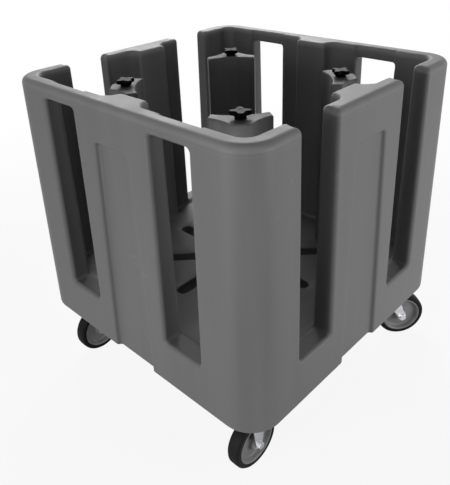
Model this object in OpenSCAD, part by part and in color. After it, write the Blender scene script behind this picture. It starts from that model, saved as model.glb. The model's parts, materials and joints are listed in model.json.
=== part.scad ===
// Adjustable dish caddy: a moulded square tub on four casters, with four
// clamped towers that slide in star slots in its deck and part the stacks of plates.
// The origin is on the ground under the middle of the tub, with +Z up.
// The front corner of the photograph is at -X -Y, and the walls with open slots face -Y and +Y.

/* [Tub] */
// Width of the tub over its foot, the same both ways
tub_w = 730; // [700:1:800]
// Height of the tub from its underside to the rim
tub_h = 608; // [540:1:680]
// How far each outer wall leans in from foot to rim
wall_draft = 10; // [4:1:14]
// Thickness of the walls at the foot
wall_t = 50; // [46:1:54]
// Radius of the upright corners, outside, at the foot
corner_r = 75; // [68:1:90]
// Radius of the rim, on both its edges
rim_r = 12; // [8:1:15]
// Radius of the foot edge
foot_r = 8; // [4:1:12]
// Height of the deck above the underside
deck_lift = 106; // [90:1:130]
// Thickness of the deck
deck_t = 36; // [30:1:44]

/* [Wall slots] */
// Width of the middle piece of each wall, between its two slots
middle_w = 232; // [215:1:245]
// Width of each wall slot
slot_w = 105; // [90:1:110]
// Height of the slot sills above the deck
sill_lift = 8; // [4:1:20]
// Height of the rails that close the slots of two walls
rail_h = 30; // [24:1:40]
// How far the rails are thinner than the walls
rail_step = 5; // [3:1:9]
// Radius of the corners of the wall slots
slot_corner_r = 9; // [4:1:14]

/* [Middle pieces] */
// Width of the recessed panel at its top
panel_top_w = 104; // [80:1:120]
// Width of the recessed panel at the foot
panel_foot_w = 132; // [122:1:160]
// Distance from the rim to the top of the recessed panel
panel_drop = 84; // [60:1:110]
// Depth of the recessed panel
panel_depth = 9; // [4:1:14]
// Radius of the panel's top corners
panel_corner_r = 12; // [6:1:20]
// Width of the inner rib where it meets the wall
rib_root_w = 112; // [96:1:124]
// Width of the inner rib's face
rib_face_w = 86; // [70:1:92]
// How far the inner rib stands in from the wall
rib_depth = 32; // [24:1:40]
// Radius of the rib's hollow sides
rib_side_r = 40; // [34:1:80]

/* [Deck slots] */
// Width of the star slots in the deck
star_slot_w = 30; // [26:1:34]
// Reach of the four slots that point at the walls
wall_arm_reach = 218; // [190:1:240]
// Gap between the ends of the corner slots and the blocks over the casters
corner_arm_gap = 14; // [8:1:24]

/* [Corner blocks] */
// Distance from the foot's outer faces to the middle of each caster plate
caster_inset = 82; // [78:1:90]
// How far the corner blocks reach inwards past their pads
block_lip = 4; // [2:1:8]
// Thickness of the pads under the blocks
pad_t = 10; // [6:1:16]
// Margin of the pads round the caster plates
pad_margin = 5; // [2:1:7]

/* [Towers] */
// Distance of each rod from the middle, as photographed: front, left, right and back
tower_home = [249, 247, 240, 245]; // [200:1:250]
// Height of the towers above the deck
tower_h = 465; // [400:1:490]
// Span of a tower from wing to wing
wing_span = 128; // [116:1:136]
// Length of the flat end of each wing
wing_end = 27; // [18:1:32]
// How far outwards of the tower's middle each wing's end begins
wing_front = 3; // [0:1:6]
// How far each wing's end leans in towards the hollow face
wing_lean = 5; // [2:1:8]
// Width of the tower's flat nose
nose_w = 41; // [34:1:48]
// Distance from the tower's middle to the nose
nose_reach = 46; // [42:1:50]
// Distance from the tower's middle outwards to its rod
rod_out = 10; // [6:1:14]
// Radius of the two hollow flanks, for the rim of a plate
flank_r = 90; // [64:1:140]
// Radius of the hollow inner face
hollow_r = 140; // [100:1:200]
// Depth of the tongue that guides the tower in its deck slot
tongue_h = 12; // [8:1:14]
// Length of the tongue
tongue_l = 44; // [36:1:46]
// Clearance of the tongue and of the clamp plate's key in the deck slot, each side
key_gap = 0.5; // [0.3:0.1:1]
// Gap between a tower and the deck, so that it slides
slide_gap = 0.3; // [0.2:0.1:0.6]

/* [Clamps] */
// Diameter of the clamp rods
rod_d = 12; // [10:1:14]
// Clearance round the rod in its tower, each side
rod_gap = 1; // [0.6:0.1:1.5]
// Clearance of the rod's thread in the clamp plate, each side
thread_gap = 0.05; // [0.02:0.01:0.1]
// Diameter over the lobes of the clamp knobs
knob_d = 44; // [38:1:50]
// Height of the clamp knobs
knob_h = 14; // [12:1:20]
// Diameter of each lobe of a knob
lobe_d = 15; // [12:1:17]
// Height of a knob's lobes above the foot of its hub
lobe_rise = 4; // [2:0.5:5]
// Diameter of a knob's hub under its lobes
knob_hub_d = 24; // [22:1:26]
// Diameter of the washers under the knobs
washer_d = 24; // [22:1:30]
// Thickness of the washers under the knobs
washer_t = 2; // [1.5:0.1:3]
// Width of the clamp plates under the deck, both ways
clamp_w = 50; // [44:1:50]
// Thickness of the clamp plates
clamp_t = 9; // [6:1:12]
// Height of the key on each clamp plate
clamp_key_h = 12; // [8:1:16]
// How far a clamp plate drops when its knob is slackened by two turns
clamp_drop = 3.5; // [3:0.1:4]
// Diameter of the collar that keeps the clamp plate on its rod
stop_d = 18; // [16:1:22]
// Thickness of that collar
stop_t = 4; // [3:1:6]

/* [Casters] */
// Diameter of the wheels
wheel_d = 127; // [120:1:130]
// Height of a caster from the ground to the top of its plate
caster_h = 164; // [160:1:180]
// Width of the tread
tread_w = 32; // [28:1:34]
// Thickness of the tread
tread_t = 11; // [8:1:14]
// Radius of the tread's edges
tread_edge_r = 4; // [2:0.5:6]
// Length of the caster plates, along X
plate_l = 105; // [100:1:108]
// Width of the caster plates, along Y
plate_w = 80; // [76:1:84]
// Thickness of the caster plates
plate_t = 4; // [3:0.5:5]
// Spacing of the caster bolts, along X
bolt_pitch_l = 80; // [76:1:82]
// Spacing of the caster bolts, along Y
bolt_pitch_w = 58; // [54:1:60]
// Diameter of the caster bolts
bolt_d = 8; // [6:1:8]
// Distance of the swivel casters' wheels behind their kingpins
trail = 42; // [36:1:48]
// Thickness of the fork legs
leg_t = 3.5; // [3:0.5:4]
// Diameter of the axle bolts
axle_d = 10; // [8:1:10]
// Diameter of the rounded lower end of each fork leg
leg_end_d = 28; // [24:1:32]
// Width of the wheel over its hub
hub_w = 38; // [36:1:42]
// Diameter of the wheel's hub
hub_d = 36; // [34:1:40]
// Turn of the right caster about its kingpin, from +X
right_turn = -40; // [-180:1:180]
// Turn of the back caster about its kingpin, from +X
back_turn = -40; // [-180:1:180]

/* [Hidden] */

$fn = 96;
// Overrun of every cut past the face that it opens
over = 1;
// Overlap of two shapes that are joined
bite = 5;
// Colours
moulding_grey = [0.42, 0.42, 0.42];
tower_grey = [0.46, 0.46, 0.46];
knob_black = [0.06, 0.06, 0.06];
zinc = [0.78, 0.79, 0.80];
core_grey = [0.45, 0.46, 0.47];
tread_black = [0.11, 0.11, 0.11];
bush_cream = [0.85, 0.83, 0.76];
brass = [0.72, 0.6, 0.32];

// The four corners are numbered front, left, right and back
FRONT = 0;
LEFT = 1;
RIGHT = 2;
BACK = 3;
corner_signs = [[-1, -1], [-1, 1], [1, -1], [1, 1]];

// Tub
underside_z = caster_h + pad_t;
deck_z = underside_z + deck_lift;
rim_z = underside_z + tub_h;
sill_z = deck_z + sill_lift;
foot_half = tub_w/2;
rim_half = foot_half - wall_draft;
inside_half = foot_half - wall_t;
// The rounded corners turn about fixed upright axes this far from the middle
corner_c = foot_half - corner_r;
inner_r = inside_half - corner_c;
slot_near = middle_w/2;
slot_far = slot_near + slot_w;
draft_angle = atan(wall_draft/(tub_h - rim_r - foot_r));
wall_cut_l = wall_t + 2*over;

// Corner blocks, caster plates and the corner slots that end short of them
caster_at = foot_half - caster_inset;
block_start = caster_at - plate_l/2 - pad_margin - block_lip;
corner_arm_reach = block_start*sqrt(2) - corner_arm_gap;

// Caster bolts, inserts and their holes
insert_wall = 2;
insert_d = bolt_d + 2*insert_wall;
insert_l = 20;
bolt_l = 22;
bolt_head_d = 14;
bolt_head_t = 5.5;
plate_hole_gap = 0.5;

// Towers and clamps
tower_z = deck_z + slide_gap;
tower_top_z = tower_z + tower_h;
washer_z = tower_top_z;
knob_z = washer_z + washer_t + slide_gap;
rod_cap = 3;
clamp_z = deck_z - deck_t - slide_gap - clamp_t;
stop_gap = 1;
stop_z = clamp_z - clamp_drop - stop_gap - stop_t;
lobe_count = 4;
knob_waist_d = 26;
dish_r = 9;

// Casters
wheel_r = wheel_d/2;
tread_ring_r = wheel_r - tread_t;
core_rim_t = 6;
core_web_t = 9;
core_web_dip = 4;
lip_r = 2;
hub_gap = 0.8;
fork_gap = hub_w/2 + hub_gap;
sleeve_d = 13;
sleeve_wall_gap = 0.1;
bush_d = 22;
bush_gap = 0.05;
bush_flange_d = 27;
bush_flange_t = 1.5;
bush_l = 14;
axle_z = wheel_r;
axle_head_d = 18;
axle_head_t = 6.5;
axle_nut_t = 8;
axle_tail = 2;
leg_top_l = 62;
king_d = 12;
king_gap = 0.08;
king_head_d = 22;
king_head_t = 7;
ball_d = 6;
ball_ring_r = 25;
ball_count = 20;
race_gap = 0.1;
race_space = 4;
race_in_r = 18;
race_out_r = 32;
race_t = 5;
web_r = 36;
web_t = 5;
// Heights in a swivel caster, downwards from its plate
plate_z = caster_h - plate_t;
upper_race_z = plate_z - race_t;
ball_z = upper_race_z - race_space/2;
web_z = ball_z - race_space/2 - web_t;

// Centre of a circle of radius r through p and q, on the left of the way from p to q
function arc_centre(p, q, r) =
    let (m = (p + q)/2, d = q - p, l = norm(d), k = sqrt(r*r - l*l/4)/l)
    [m[0] - d[1]*k, m[1] + d[0]*k];

// Placing

// Turns a rod's own frame, +X outwards along the diagonal, to corner i
module on_diagonal(i) {
    rotate([0, 0, atan2(corner_signs[i][1], corner_signs[i][0])])
        translate([tower_home[i], 0, 0]) children();
}

// Moves a caster's frame under corner i
module at_caster(i) {
    translate([corner_signs[i][0]*caster_at, corner_signs[i][1]*caster_at, 0]) children();
}

// Turn of a swivel caster
function caster_turn(i) = i == RIGHT ? right_turn : i == BACK ? back_turn : 0;

// Distance of the wheel behind the caster's middle
function caster_trail(i) = i == RIGHT || i == BACK ? trail : 0;

// A caster's fork frame, with the axle's line along Y through its origin
module at_wheel(i) {
    at_caster(i) rotate([0, 0, caster_turn(i)])
        translate([caster_trail(i), 0, axle_z]) children();
}

// The eight star slot directions
function arm_reach(k) = k % 2 == 0 ? wall_arm_reach : corner_arm_reach;

// Tub

// Section of a wall: X is the distance from the corner axes, Y the height above the underside
module wall_section() {
    foot_x = foot_half - corner_c;
    rim_x = rim_half - corner_c;
    shoulder = tub_h - rim_r;
    polygon([[inner_r, foot_r], [foot_x, foot_r], [rim_x, shoulder], [inner_r, shoulder]]);
    translate([foot_x - foot_r, foot_r]) circle(foot_r);
    translate([inner_r, 0]) square([foot_x - foot_r - inner_r, foot_r + over]);
    translate([rim_x - rim_r, shoulder]) circle(rim_r);
    translate([inner_r + rim_r, shoulder]) circle(rim_r);
    translate([inner_r + rim_r, shoulder - over])
        square([rim_x - inner_r - 2*rim_r, rim_r + over]);
}

module wall_ring() {
    for (a = [0:90:270]) rotate([0, 0, a]) {
        rotate([90, 0, 0]) linear_extrude(height = 2*corner_c, center = true)
            translate([corner_c, 0]) wall_section();
        translate([corner_c, corner_c, 0]) rotate_extrude(angle = 90) wall_section();
    }
}

// A rectangle with round corners, from its low corner
module round_rectangle(w, h, r) {
    translate([r, 0]) square([w - 2*r, h]);
    translate([0, r]) square([w, h - 2*r]);
    for (x = [r, w - r]) for (y = [r, h - r]) translate([x, y]) circle(r);
}

// Draws a flat shape on a wall's plane, X along the wall and Y up, and cuts inwards from x_far
module through_wall(x_far, depth) {
    translate([x_far, 0, 0]) rotate([90, 0, -90]) linear_extrude(height = depth) children();
}

// Both slots of one wall, closed by a rail or open at the rim
module wall_slots(closed) {
    top = closed ? rim_z - rail_h : rim_z + slot_corner_r + over;
    for (s = [0, 1]) mirror([0, s, 0])
        through_wall(foot_half + over, wall_cut_l)
            translate([-slot_far, sill_z]) round_rectangle(slot_w, top - sill_z, slot_corner_r);
}

// The step that makes the two rails of a wall thinner than the wall
module rail_steps() {
    for (s = [0, 1]) mirror([0, s, 0])
        translate([inside_half - over, slot_near, rim_z - rail_h - slot_corner_r])
            cube([rail_step + over, slot_w, rail_h + slot_corner_r + over]);
}

// The recessed panel on the outside of a middle piece
module panel_cut() {
    top = tub_h - panel_drop;
    lean = panel_foot_w/2 - panel_top_w/2;
    top_half = panel_top_w/2;
    translate([foot_half + over, 0, underside_z]) rotate([0, -draft_angle, 0])
        through_wall(0, panel_depth + over) {
            polygon([
                [-top_half - lean*(1 + over/top), -over], [top_half + lean*(1 + over/top), -over],
                [top_half, top - panel_corner_r], [top_half - panel_corner_r, top],
                [panel_corner_r - top_half, top], [-top_half, top - panel_corner_r]
            ]);
            for (s = [-1, 1]) translate([s*(top_half - panel_corner_r), top - panel_corner_r])
                circle(panel_corner_r);
        }
}

// Outline of the inner rib: X is the distance in from the wall, Y runs along it
module rib_outline() {
    root = rib_root_w/2;
    face = rib_face_w/2;
    side = arc_centre([0, root], [rib_depth, face], rib_side_r);
    difference() {
        polygon([[-bite, -root], [-bite, root], [0, root], [rib_depth, face],
            [rib_depth, -face], [0, -root]]);
        for (s = [-1, 1]) translate([side[0], s*side[1]]) circle(rib_side_r);
    }
}

module rib() {
    translate([inside_half, 0, deck_z - bite]) mirror([1, 0, 0])
        linear_extrude(height = rim_z - rim_r/2 - deck_z + bite) rib_outline();
}

// The star of slots that the towers are clamped in
module star_cut() {
    translate([0, 0, deck_z - deck_t - over]) linear_extrude(height = deck_t + 2*over)
        for (k = [0:7]) rotate(k*45) {
            translate([0, -star_slot_w/2]) square([arm_reach(k) - star_slot_w/2, star_slot_w]);
            translate([arm_reach(k) - star_slot_w/2, 0]) circle(star_slot_w/2);
        }
}

// Where the four bolts of caster i are
module at_bolts(i) {
    at_caster(i) for (x = [-1, 1]) for (y = [-1, 1])
        translate([x*bolt_pitch_l/2, y*bolt_pitch_w/2, 0]) children();
}

module caster_block(i) {
    s = corner_signs[i];
    block = inside_half + bite - block_start;
    pad_l = plate_l + 2*pad_margin;
    pad_w = plate_w + 2*pad_margin;
    mirror([s[0] < 0 ? 1 : 0, 0, 0]) mirror([0, s[1] < 0 ? 1 : 0, 0])
        translate([block_start, block_start, underside_z])
            cube([block, block, deck_lift - deck_t + bite]);
    at_caster(i) translate([0, 0, caster_h])
        linear_extrude(height = pad_t + bite) translate([-pad_l/2, -pad_w/2])
            round_rectangle(pad_l, pad_w, slot_corner_r);
}

module tub() color(moulding_grey) difference() {
    union() {
        difference() {
            translate([0, 0, underside_z]) wall_ring();
            for (a = [0, 180]) rotate([0, 0, a]) {
                wall_slots(true);
                rail_steps();
            }
            for (a = [90, 270]) rotate([0, 0, a]) wall_slots(false);
            for (a = [0:90:270]) rotate([0, 0, a]) panel_cut();
        }
        for (a = [0:90:270]) rotate([0, 0, a]) rib();
        translate([0, 0, deck_z - deck_t]) linear_extrude(height = deck_t)
            square(2*(inside_half + bite), center = true);
        for (i = [FRONT:BACK]) caster_block(i);
    }
    star_cut();
    for (i = [FRONT:BACK]) at_bolts(i) translate([0, 0, caster_h - over])
        cylinder(d = insert_d, h = insert_l + over);
    for (i = [FRONT:BACK]) at_bolts(i) translate([0, 0, caster_h - over])
        cylinder(d = bolt_d + plate_hole_gap, h = bolt_l + 2*over);
}

module caster_inserts() color(brass)
    for (i = [FRONT:BACK]) at_bolts(i) translate([0, 0, caster_h])
        difference() {
            cylinder(d = insert_d, h = insert_l);
            translate([0, 0, -over]) cylinder(d = bolt_d, h = insert_l + 2*over);
        }

module caster_bolts() color(zinc)
    for (i = [FRONT:BACK]) at_bolts(i) translate([0, 0, caster_h - plate_t]) {
        cylinder(d = bolt_d, h = bolt_l);
        translate([0, 0, -bolt_head_t]) cylinder(d = bolt_head_d, h = bolt_head_t, $fn = 6);
    }

// Towers

// Plan of a tower about its middle: +X points at the corner of the tub
module tower_outline() {
    nose = nose_w/2;
    wing = wing_span/2;
    wing_in = wing_front - wing_end;
    wing_tip = wing - wing_lean;
    flank = arc_centre([wing_front, wing], [nose_reach, nose], flank_r);
    hollow = arc_centre([wing_in, -wing_tip], [wing_in, wing_tip], hollow_r);
    difference() {
        polygon([[nose_reach, -nose], [nose_reach, nose], [wing_front, wing],
            [wing_in, wing_tip], [wing_in, -wing_tip], [wing_front, -wing]]);
        for (s = [-1, 1]) translate([flank[0], s*flank[1]]) circle(flank_r);
        translate(hollow) circle(hollow_r);
    }
}

module tower(i) color(tower_grey) on_diagonal(i) difference() {
    union() {
        translate([-rod_out, 0, tower_z]) linear_extrude(height = tower_h) tower_outline();
        translate([-tongue_l/2, key_gap - star_slot_w/2, tower_z - tongue_h])
            cube([tongue_l, star_slot_w - 2*key_gap, tongue_h + bite]);
    }
    translate([0, 0, tower_z - tongue_h - over])
        cylinder(d = rod_d + 2*rod_gap, h = tongue_h + tower_h + 2*over);
}

// The rod runs from the collar under the deck to inside the knob
module clamp_rod(i) color(zinc) on_diagonal(i) translate([0, 0, stop_z]) {
    cylinder(d = rod_d, h = knob_z + knob_h - rod_cap - stop_z);
    cylinder(d = stop_d, h = stop_t);
}

module clamp_washer(i) color(zinc) on_diagonal(i) translate([0, 0, washer_z]) difference() {
    cylinder(d = washer_d, h = washer_t);
    translate([0, 0, -over]) cylinder(d = rod_d + rod_gap, h = washer_t + 2*over);
}

// A knob has four lobes over a round hub, and hollows between them for the fingers
module clamp_knob(i) color(knob_black) on_diagonal(i) translate([0, 0, knob_z])
    rotate([0, 0, knob_turn(i)]) difference() {
        union() {
            cylinder(d = knob_hub_d, h = lobe_rise + bite);
            translate([0, 0, lobe_rise]) linear_extrude(height = knob_h - lobe_rise) {
                circle(d = knob_waist_d);
                for (k = [1:lobe_count]) rotate(k*360/lobe_count) {
                    translate([0, -lobe_d/2]) square([knob_d/2 - lobe_d/2, lobe_d]);
                    translate([knob_d/2 - lobe_d/2, 0]) circle(d = lobe_d);
                }
            }
        }
        translate([0, 0, -over]) cylinder(d = rod_d, h = knob_h - rod_cap + over);
        translate([0, 0, knob_h + dish_r - over/2]) sphere(dish_r);
    }

// Where each knob was left when it was tightened
function knob_turn(i) = [0, 36, 45, 45][i];

module clamp_plate(i) color(zinc) on_diagonal(i) difference() {
    union() {
        translate([-clamp_w/2, -clamp_w/2, clamp_z]) cube([clamp_w, clamp_w, clamp_t]);
        translate([key_gap - star_slot_w/2, key_gap - star_slot_w/2, clamp_z])
            cube([star_slot_w - 2*key_gap, star_slot_w - 2*key_gap, clamp_t + clamp_key_h]);
    }
    translate([0, 0, clamp_z - over])
        cylinder(d = rod_d + 2*thread_gap, h = clamp_t + clamp_key_h + 2*over);
}

// Casters

// Outline of a fork leg: X along the wheel, Y up from the axle, from the web down to the axle
module leg_outline(back, top) {
    r = leg_end_d/2;
    x0 = -back - leg_top_l/2;
    x1 = -back + leg_top_l/2;
    polygon([[x0, top], [x0, top - r], [-r, 0], [r, 0], [x1, top - r], [x1, top]]);
    circle(r);
}

// A pair of legs either side of the wheel, with the axle's holes
module fork_legs(back, top) {
    for (s = [-1, 1]) translate([0, s*(fork_gap + leg_t/2) + leg_t/2, 0])
        rotate([90, 0, 0]) linear_extrude(height = leg_t) leg_outline(back, top);
}

module axle_hole() {
    rotate([90, 0, 0]) cylinder(d = axle_d, h = 2*(fork_gap + leg_t + over), center = true);
}

module plate_blank() {
    difference() {
        translate([-plate_l/2, -plate_w/2]) round_rectangle(plate_l, plate_w, bolt_d);
        for (x = [-1, 1]) for (y = [-1, 1])
            translate([x*bolt_pitch_l/2, y*bolt_pitch_w/2]) circle(d = bolt_d + plate_hole_gap);
    }
}

// A rigid caster's fork is one pressing with its bolting plate
module rigid_fork(i) color(zinc) difference() {
    union() {
        at_caster(i) translate([0, 0, plate_z]) linear_extrude(height = plate_t) plate_blank();
        at_wheel(i) fork_legs(0, plate_z + plate_t/2 - axle_z);
    }
    at_wheel(i) axle_hole();
}

// A swivel caster's fork hangs from its kingpin by a round web
module swivel_fork(i) color(zinc) difference() {
    union() {
        at_wheel(i) fork_legs(trail, web_z + web_t/2 - axle_z);
        at_caster(i) translate([0, 0, web_z]) cylinder(r = web_r, h = web_t);
    }
    at_wheel(i) axle_hole();
    at_caster(i) translate([0, 0, web_z - over])
        cylinder(d = king_d + 2*king_gap, h = web_t + 2*over);
    at_caster(i) translate([0, 0, ball_z]) rotate_extrude()
        translate([ball_ring_r, 0]) circle(ball_d/2 + race_gap);
}

module swivel_plate(i) color(zinc) at_caster(i) difference() {
    union() {
        translate([0, 0, plate_z]) linear_extrude(height = plate_t) plate_blank();
        translate([0, 0, upper_race_z]) difference() {
            cylinder(r = race_out_r, h = race_t + plate_t/2);
            translate([0, 0, -over]) cylinder(r = race_in_r, h = race_t + over);
        }
    }
    translate([0, 0, plate_z - over]) cylinder(d = king_d, h = plate_t + 2*over);
    translate([0, 0, ball_z]) rotate_extrude()
        translate([ball_ring_r, 0]) circle(ball_d/2 + race_gap);
}

module kingpin(i) color(zinc) at_caster(i) {
    translate([0, 0, web_z - slide_gap - king_head_t])
        cylinder(d = king_d, h = caster_h - web_z + slide_gap + king_head_t);
    translate([0, 0, web_z - slide_gap - king_head_t])
        cylinder(d = king_head_d, h = king_head_t);
}

module swivel_balls(i) color(zinc) at_caster(i) translate([0, 0, ball_z])
    for (k = [1:ball_count]) rotate([0, 0, k*360/ball_count])
        translate([ball_ring_r, 0, 0]) sphere(d = ball_d);

module axle_bolt(i) color(zinc) at_wheel(i) rotate([90, 0, 0]) {
    grip = fork_gap + leg_t;
    translate([0, 0, -grip - axle_nut_t - axle_tail])
        cylinder(d = axle_d, h = 2*grip + axle_nut_t + axle_tail);
    translate([0, 0, grip]) cylinder(d = axle_head_d, h = axle_head_t, $fn = 6);
}

module axle_nut(i) color(zinc) at_wheel(i) rotate([90, 0, 0])
    translate([0, 0, -fork_gap - leg_t - axle_nut_t]) difference() {
        cylinder(d = axle_head_d, h = axle_nut_t, $fn = 6);
        translate([0, 0, -over]) cylinder(d = axle_d, h = axle_nut_t + 2*over);
    }

module axle_sleeve(i) color(zinc) at_wheel(i) rotate([90, 0, 0]) difference() {
    cylinder(d = sleeve_d, h = 2*fork_gap, center = true);
    cylinder(d = axle_d + 2*sleeve_wall_gap, h = 2*(fork_gap + over), center = true);
}

// Two flanged bushes, one pressed in from each side of the hub
module hub_bushes(i) color(bush_cream) at_wheel(i) for (s = [-90, 90]) rotate([s, 0, 0])
    difference() {
        union() {
            translate([0, 0, hub_w/2 - bush_l]) cylinder(d = bush_d, h = bush_l);
            translate([0, 0, hub_w/2 - bush_flange_t])
                cylinder(d = bush_flange_d, h = bush_flange_t);
        }
        translate([0, 0, hub_w/2 - bush_l - over])
            cylinder(d = sleeve_d + 2*bush_gap, h = bush_l + 2*over);
    }

// Section of the wheel's core: X from the axle, Y across the wheel
module core_section() {
    rim_in = tread_ring_r - core_rim_t;
    rim_half_w = tread_w/2 - lip_r;
    translate([rim_in, -rim_half_w]) square([core_rim_t, 2*rim_half_w]);
    for (s = [-1, 1]) translate([rim_in + lip_r, s*rim_half_w]) circle(lip_r);
    translate([bush_d/2, -hub_w/2]) square([hub_d/2 - bush_d/2, hub_w]);
    polygon([
        [hub_d/2 - over, -core_web_t/2 - core_web_dip], [rim_in + over, -core_web_t/2],
        [rim_in + over, core_web_t/2], [hub_d/2 - over, core_web_t/2 + core_web_dip]
    ]);
}

module wheel_core(i) color(core_grey) at_wheel(i) rotate([90, 0, 0]) difference() {
    rotate_extrude() core_section();
    for (s = [0, 1]) mirror([0, 0, s]) translate([0, 0, hub_w/2 - bush_flange_t])
        cylinder(d = bush_flange_d, h = bush_flange_t + over);
}

module tyre_section() {
    r = tread_edge_r;
    translate([tread_ring_r, -tread_w/2]) square([tread_t - r, tread_w]);
    translate([tread_ring_r, r - tread_w/2]) square([tread_t, tread_w - 2*r]);
    for (s = [-1, 1]) translate([wheel_r - r, s*(tread_w/2 - r)]) circle(r);
}

module tyre(i) color(tread_black) at_wheel(i) rotate([90, 0, 0])
    rotate_extrude() tyre_section();

tub();
caster_inserts();
caster_bolts();
tower(FRONT);  // front_tower
tower(LEFT);  // left_tower
tower(RIGHT);  // right_tower
tower(BACK);  // back_tower
clamp_rod(FRONT);  // front_clamp_rod
clamp_rod(LEFT);  // left_clamp_rod
clamp_rod(RIGHT);  // right_clamp_rod
clamp_rod(BACK);  // back_clamp_rod
clamp_washer(FRONT);  // front_clamp_washer
clamp_washer(LEFT);  // left_clamp_washer
clamp_washer(RIGHT);  // right_clamp_washer
clamp_washer(BACK);  // back_clamp_washer
clamp_knob(FRONT);  // front_clamp_knob
clamp_knob(LEFT);  // left_clamp_knob
clamp_knob(RIGHT);  // right_clamp_knob
clamp_knob(BACK);  // back_clamp_knob
clamp_plate(FRONT);  // front_clamp_plate
clamp_plate(LEFT);  // left_clamp_plate
clamp_plate(RIGHT);  // right_clamp_plate
clamp_plate(BACK);  // back_clamp_plate
rigid_fork(FRONT);  // front_caster_fork
rigid_fork(LEFT);  // left_caster_fork
swivel_fork(RIGHT);  // right_caster_fork
swivel_fork(BACK);  // back_caster_fork
swivel_plate(RIGHT);  // right_swivel_plate
swivel_plate(BACK);  // back_swivel_plate
kingpin(RIGHT);  // right_kingpin
kingpin(BACK);  // back_kingpin
swivel_balls(RIGHT);  // right_swivel_balls
swivel_balls(BACK);  // back_swivel_balls
axle_bolt(FRONT);  // front_axle_bolt
axle_bolt(LEFT);  // left_axle_bolt
axle_bolt(RIGHT);  // right_axle_bolt
axle_bolt(BACK);  // back_axle_bolt
axle_nut(FRONT);  // front_axle_nut
axle_nut(LEFT);  // left_axle_nut
axle_nut(RIGHT);  // right_axle_nut
axle_nut(BACK);  // back_axle_nut
axle_sleeve(FRONT);  // front_axle_sleeve
axle_sleeve(LEFT);  // left_axle_sleeve
axle_sleeve(RIGHT);  // right_axle_sleeve
axle_sleeve(BACK);  // back_axle_sleeve
hub_bushes(FRONT);  // front_hub_bushes
hub_bushes(LEFT);  // left_hub_bushes
hub_bushes(RIGHT);  // right_hub_bushes
hub_bushes(BACK);  // back_hub_bushes
wheel_core(FRONT);  // front_wheel_core
wheel_core(LEFT);  // left_wheel_core
wheel_core(RIGHT);  // right_wheel_core
wheel_core(BACK);  // back_wheel_core
tyre(FRONT);  // front_tyre
tyre(LEFT);  // left_tyre
tyre(RIGHT);  // right_tyre
tyre(BACK);  // back_tyre
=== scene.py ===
"""Looks of a square dish caddy: a moulded tub on four casters with four clamped towers."""

import json
import math

import bmesh
import bpy
import numpy as np
from mathutils import Matrix, Vector


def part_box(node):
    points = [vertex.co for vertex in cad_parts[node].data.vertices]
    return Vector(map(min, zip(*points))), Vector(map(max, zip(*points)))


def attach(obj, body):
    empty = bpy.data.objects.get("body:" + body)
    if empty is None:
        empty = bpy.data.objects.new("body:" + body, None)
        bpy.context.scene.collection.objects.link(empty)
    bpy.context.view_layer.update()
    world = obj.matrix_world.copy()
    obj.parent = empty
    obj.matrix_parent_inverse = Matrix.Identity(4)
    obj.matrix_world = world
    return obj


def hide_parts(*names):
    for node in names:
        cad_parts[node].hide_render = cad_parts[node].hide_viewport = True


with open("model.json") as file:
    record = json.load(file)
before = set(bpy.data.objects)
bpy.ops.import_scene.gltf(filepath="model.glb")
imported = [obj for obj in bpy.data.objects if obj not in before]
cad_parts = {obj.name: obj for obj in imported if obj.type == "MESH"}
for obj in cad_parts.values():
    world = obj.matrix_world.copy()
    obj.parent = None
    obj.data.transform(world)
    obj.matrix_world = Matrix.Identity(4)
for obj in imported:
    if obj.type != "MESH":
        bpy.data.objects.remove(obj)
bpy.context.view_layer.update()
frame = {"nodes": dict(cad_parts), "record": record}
scene = bpy.context.scene
CORNERS = {"front": (-1, -1), "left": (-1, 1), "right": (1, -1), "back": (1, 1)}
SWIVELS = ("right", "back")


# The camera
# It stands where the photograph was taken from, a little above the rim and square to no wall.
# The photograph's own centre line runs off the middle of its frame, which the shift repeats.

CAMERA_AT = Vector((-0.93321, -0.87067, 1.11138))
CAMERA_RIGHT = Vector((0.68929, -0.72351, -0.03765))
CAMERA_DOWN = Vector((-0.35036, -0.28740, -0.89143))
PHOTO_W, PHOTO_H = 450, 485
FOCAL_PX = 575.37
CENTRE_PX = (222.933, 191.82)
SENSOR = 36

photo_camera = bpy.data.objects.new("photo_camera", bpy.data.cameras.new("photo_camera"))
scene.collection.objects.link(photo_camera)
across = CAMERA_RIGHT.normalized()
upwards = -(CAMERA_DOWN - CAMERA_DOWN.dot(across)*across).normalized()
turn = Matrix((across, upwards, across.cross(upwards))).transposed()
photo_camera.matrix_world = Matrix.Translation(CAMERA_AT) @ turn.to_4x4()
photo_camera.data.sensor_width = SENSOR
photo_camera.data.lens = SENSOR*FOCAL_PX/max(PHOTO_W, PHOTO_H)
photo_camera.data.shift_x = (PHOTO_W/2 - CENTRE_PX[0])/max(PHOTO_W, PHOTO_H)
photo_camera.data.shift_y = (CENTRE_PX[1] - PHOTO_H/2)/max(PHOTO_W, PHOTO_H)
photo_camera.data.clip_start = 0.01
scene.camera = photo_camera


# The moulded tub
# One rotationally moulded piece of grey polyethylene: drafted walls with soft edges, a deck,
# blocks over the casters, and slots and ribs that were part of the mould. Its skin is found
# from a distance field, which gives every edge the soft radius that such a mould leaves.

tub_lo, tub_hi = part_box("tub")
FOOT_HALF = tub_hi.x
RIM_Z = tub_hi.z
PAD_Z = tub_lo.z
UNDER_Z = PAD_Z + 0.010
DRAFT = 0.010
CORNER_C = 0.290
INNER_R = 0.025
INSIDE_HALF = CORNER_C + INNER_R
# The walls' draft ends this far below the rim
DRAFT_STOP = 0.012
# The rim is rounder on its outer side than on its inner side, and changes between two places
RIM_OUT_R, RIM_IN_R = 0.0145, 0.009
RIM_TURN = (0.035, 0.045)
FOOT_R = 0.008
DECK_Z = UNDER_Z + 0.106
DECK_T, DECK_FILLET_R = 0.036, 0.010
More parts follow.
